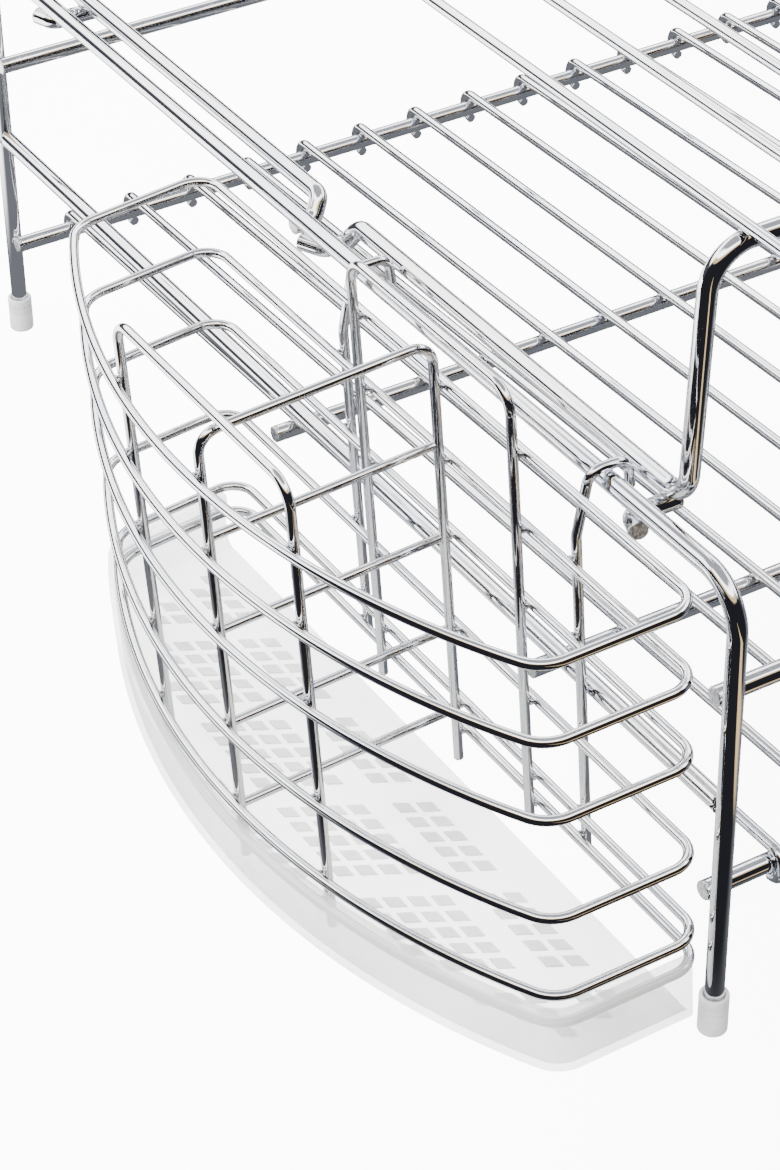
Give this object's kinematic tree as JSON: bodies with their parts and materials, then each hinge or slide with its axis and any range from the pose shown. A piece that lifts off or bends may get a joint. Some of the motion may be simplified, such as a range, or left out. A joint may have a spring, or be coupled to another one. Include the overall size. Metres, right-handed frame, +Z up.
{
  "type": "dish drying rack",
  "caption": "Chrome wire dish drying rack with a slotted plate grid, a raised glass shelf, a bowed cutlery basket that hooks over one end, and a slide-out drip tray.",
  "frame": {"origin": "on the worktop, under the middle of the whole rack's bounding box", "axes": "+X along the rack's length towards the end without the basket, +Y from the near side to the far side, +Z up"},
  "size_m": [0.5121, 0.4702, 0.2469],
  "materials": {
    "frame_chrome": "bright chrome plate on 6 mm steel wire, drawn smooth",
    "thin_chrome": "bright chrome plate on 3.8 mm steel wire",
    "basket_chrome": "bright chrome plate on 3.2 mm steel wire with plated spot welds",
    "tray_plastic": "translucent white moulded plastic with patches of small slanted grip pads on the floor",
    "cap_rubber": "soft matt moulded cap"
  },
  "bodies": {
    "rack": {"end_frame_left": "frame_chrome", "end_frame_right": "frame_chrome", "end_crossbar_left": "frame_chrome", "end_crossbar_right": "frame_chrome", "side_rail_near": "frame_chrome", "side_rail_far": "frame_chrome", "grid_rail_near": "frame_chrome", "grid_rail_mid_near": "frame_chrome", "grid_rail_mid_far": "frame_chrome", "grid_rail_far": "frame_chrome", "shelf_frame_near": "frame_chrome", "shelf_frame_far": "frame_chrome", "shelf_foot_near_left": "frame_chrome", "shelf_foot_near_right": "frame_chrome", "shelf_foot_far_left": "frame_chrome", "shelf_foot_far_right": "frame_chrome", "grid_wire_01": "thin_chrome", "grid_wire_02": "thin_chrome", "grid_wire_03": "thin_chrome", "grid_wire_04": "thin_chrome", "grid_wire_05": "thin_chrome", "grid_wire_06": "thin_chrome", "grid_wire_07": "thin_chrome", "grid_wire_08": "thin_chrome", "grid_wire_09": "thin_chrome", "grid_wire_10": "thin_chrome", "grid_wire_11": "thin_chrome", "grid_wire_12": "thin_chrome", "grid_wire_13": "thin_chrome", "grid_wire_14": "thin_chrome", "grid_wire_15": "thin_chrome", "shelf_wire_01": "thin_chrome", "shelf_wire_02": "thin_chrome", "shelf_wire_03": "thin_chrome", "shelf_wire_04": "thin_chrome", "shelf_wire_05": "thin_chrome", "shelf_wire_06": "thin_chrome", "shelf_wire_07": "thin_chrome", "shelf_wire_08": "thin_chrome", "shelf_wire_09": "thin_chrome", "shelf_wire_10": "thin_chrome", "shelf_wire_11": "thin_chrome", "shelf_wire_12": "thin_chrome", "shelf_wire_13": "thin_chrome", "leg_cap_near_left": "cap_rubber", "leg_cap_far_left": "cap_rubber", "leg_cap_near_right": "cap_rubber", "leg_cap_far_right": "cap_rubber"},
    "basket": {"basket_ring_1": "basket_chrome", "basket_ring_2": "basket_chrome", "basket_ring_3": "basket_chrome", "basket_ring_4": "basket_chrome", "basket_ring_5": "basket_chrome", "basket_ring_6": "basket_chrome", "front_hoop": "basket_chrome", "divider_panel": "basket_chrome", "back_brace": "basket_chrome", "hanger_near": "basket_chrome", "hanger_far": "basket_chrome"},
    "tray": {"drip_tray": "tray_plastic"}
  },
  "joints": [
    {"name": "basket_lift", "type": "slide", "parent": "rack", "child": "basket", "axis": [-0.0581, 0, 0.9983], "range_m": [0, 0.17]},
    {"name": "tray_slide", "type": "slide", "parent": "basket", "child": "tray", "axis": [-0.9983, 0, -0.0581], "range_m": [0, 0.09]}
  ]
}
